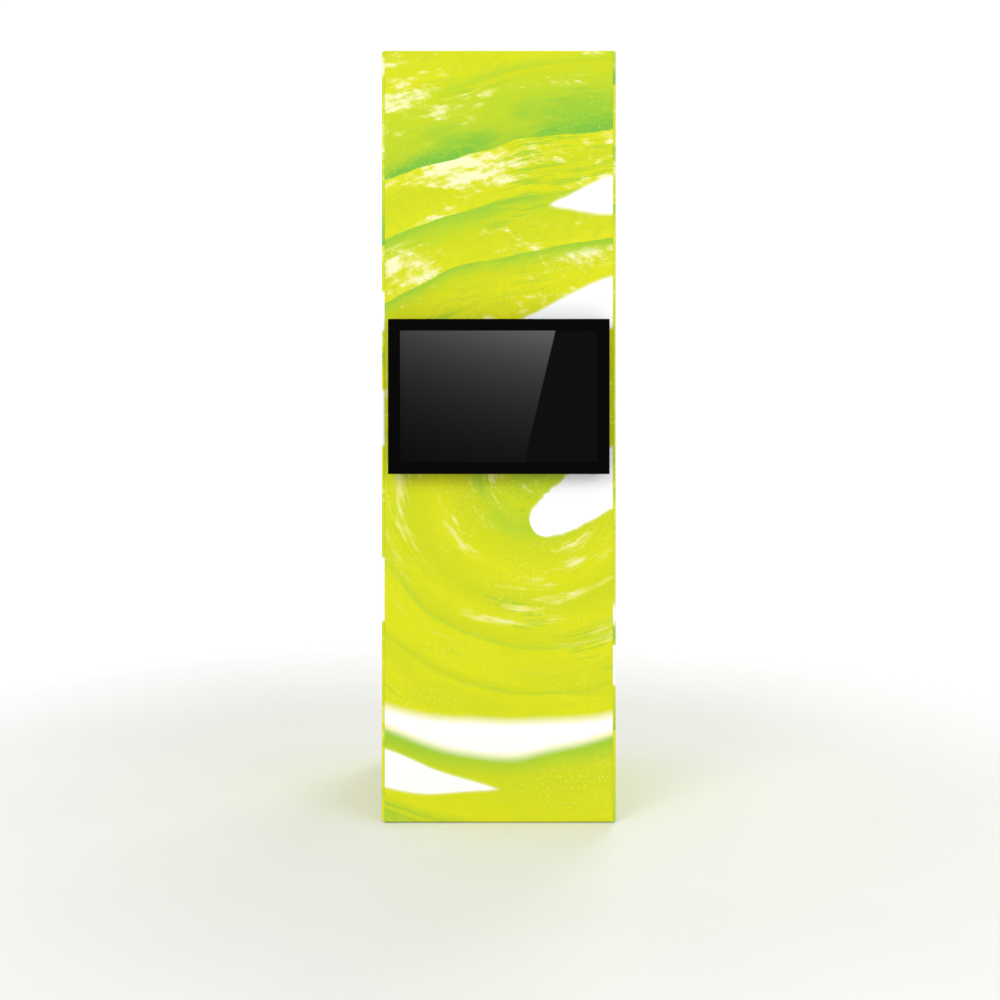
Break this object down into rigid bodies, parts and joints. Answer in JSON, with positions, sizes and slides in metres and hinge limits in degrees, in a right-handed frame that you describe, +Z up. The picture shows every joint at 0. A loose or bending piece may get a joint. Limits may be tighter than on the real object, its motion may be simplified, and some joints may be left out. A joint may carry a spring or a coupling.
{
  "type": "touchscreen kiosk",
  "caption": "Tall square tower kiosk in printed tensioned fabric, with a landscape touch display hung on its front and a lockable service door behind.",
  "frame": {"origin": "centre of the tower's square footprint, on the floor", "axes": "+Z up; the display faces -Y, so a visitor stands on the -Y side; +X is that visitor's right"},
  "size_m": [0.915, 0.9965, 3.018],
  "materials": {
    "frame_aluminium": "satin",
    "connector_alloy": "matte",
    "zinc_steel": "satin",
    "black_bolts": "satin",
    "base_steel": "matte",
    "roof_sheet": "satin",
    "foot_black": "matte",
    "printed_fabric": "matte",
    "lip_silicone": "matte",
    "panel_aluminium": "satin",
    "inlet_black": "matte",
    "switch_red": "gloss",
    "bezel_black": "satin",
    "infrared_filter": "gloss",
    "touch_glass": "polished",
    "lcd_surface": "satin",
    "tray_steel": "satin",
    "board_green": "satin",
    "speaker_plastic": "matte",
    "cover_black": "matte",
    "door_print": "satin",
    "hinge_steel": "satin",
    "lock_chrome": "polished",
    "cam_steel": "satin",
    "player_case": "matte",
    "player_button": "satin",
    "strip_white": "matte",
    "cable_black": "matte"
  },
  "bodies": {
    "tower": {"front_left_post": "frame_aluminium", "front_right_post": "frame_aluminium", "rear_left_post": "frame_aluminium", "rear_right_post": "frame_aluminium", "bottom_front_rail": "frame_aluminium", "bottom_right_rail": "frame_aluminium", "bottom_rear_rail": "frame_aluminium", "bottom_left_rail": "frame_aluminium", "top_front_rail": "frame_aluminium", "top_right_rail": "frame_aluminium", "top_rear_rail": "frame_aluminium", "top_left_rail": "frame_aluminium", "shelf_rails": "frame_aluminium", "door_header": "frame_aluminium", "display_rails": "frame_aluminium", "corner_connectors": "connector_alloy", "rail_brackets": "zinc_steel", "frame_screws": "zinc_steel", "base_plate": "base_steel", "roof_panel": "roof_sheet", "front_graphic": "printed_fabric", "left_graphic": "printed_fabric", "right_graphic": "printed_fabric", "rear_graphic": "printed_fabric", "graphic_lips": "lip_silicone", "kick_panel": "panel_aluminium", "power_inlet": "inlet_black", "display_spacers": "zinc_steel", "display_bolts": "black_bolts", "bezel": "bezel_black", "touch_frame": "infrared_filter", "touch_glass": "touch_glass", "lcd_panel": "lcd_surface", "backlight_tray": "tray_steel", "circuit_boards": "board_green", "speakers": "speaker_plastic", "rear_cover": "cover_black", "cover_screws": "black_bolts", "post_hinge_leaves": "hinge_steel", "hinge_pins": "hinge_steel", "equipment_shelf": "base_steel", "media_player": "player_case", "power_strip": "strip_white", "mains_cable": "cable_black", "equipment_leads": "cable_black"},
    "front_left_foot_body": {"front_left_foot": "foot_black"},
    "front_right_foot_body": {"front_right_foot": "foot_black"},
    "rear_left_foot_body": {"rear_left_foot": "foot_black"},
    "rear_right_foot_body": {"rear_right_foot": "foot_black"},
    "door": {"door_frame": "panel_aluminium", "door_panel": "door_print", "door_hinge_leaves": "hinge_steel", "hinge_screws": "zinc_steel", "lock_body": "lock_chrome"},
    "lock": {"lock_cam": "cam_steel"},
    "power_key": {"power_button": "cover_black"},
    "input_key": {"input_button": "cover_black"},
    "volume_key": {"volume_rocker": "cover_black"},
    "switch_rocker": {"inlet_switch": "switch_red"},
    "player_key": {"player_button": "player_button"}
  },
  "joints": [
    {"name": "door_hinge", "type": "hinge", "parent": "tower", "child": "door", "pos_m": [0.415, 0.463, 1.0775], "axis": [0, 0, -1], "range_deg": [0, 105]},
    {"name": "lock_turn", "type": "hinge", "parent": "door", "child": "lock", "pos_m": [-0.3985, 0.44, 1.01], "axis": [0, 1, 0], "range_deg": [0, 90]},
    {"name": "power_key_press", "type": "slide", "parent": "tower", "child": "power_key", "axis": [0, 0, 1], "range_m": [0, 0.0008], "stiffness_N_per_m": 800, "springref_m": -0.001},
    {"name": "input_key_press", "type": "slide", "parent": "tower", "child": "input_key", "axis": [0, 0, 1], "range_m": [0, 0.0008], "stiffness_N_per_m": 800, "springref_m": -0.001},
    {"name": "volume_rock", "type": "hinge", "parent": "tower", "child": "volume_key", "pos_m": [0.362, -0.5115, 1.374], "axis": [0, 1, 0], "range_deg": [-3, 3], "stiffness_Nm_per_rad": 0.05},
    {"name": "switch_rock", "type": "hinge", "parent": "tower", "child": "switch_rocker", "pos_m": [0.32, 0.4555, 0.105], "axis": [1, 0, 0], "range_deg": [0, 20]},
    {"name": "player_key_press", "type": "slide", "parent": "tower", "child": "player_key", "axis": [0, -1, 0], "range_m": [0, 0.0008], "stiffness_N_per_m": 800, "springref_m": -0.001},
    {"name": "front_left_foot_screw", "type": "slide", "parent": "tower", "child": "front_left_foot_body", "axis": [0, 0, -1], "range_m": [0, 0.02]},
    {"name": "front_right_foot_screw", "type": "slide", "parent": "tower", "child": "front_right_foot_body", "axis": [0, 0, -1], "range_m": [0, 0.02]},
    {"name": "rear_left_foot_screw", "type": "slide", "parent": "tower", "child": "rear_left_foot_body", "axis": [0, 0, -1], "range_m": [0, 0.02]},
    {"name": "rear_right_foot_screw", "type": "slide", "parent": "tower", "child": "rear_right_foot_body", "axis": [0, 0, -1], "range_m": [0, 0.02]}
  ]
}
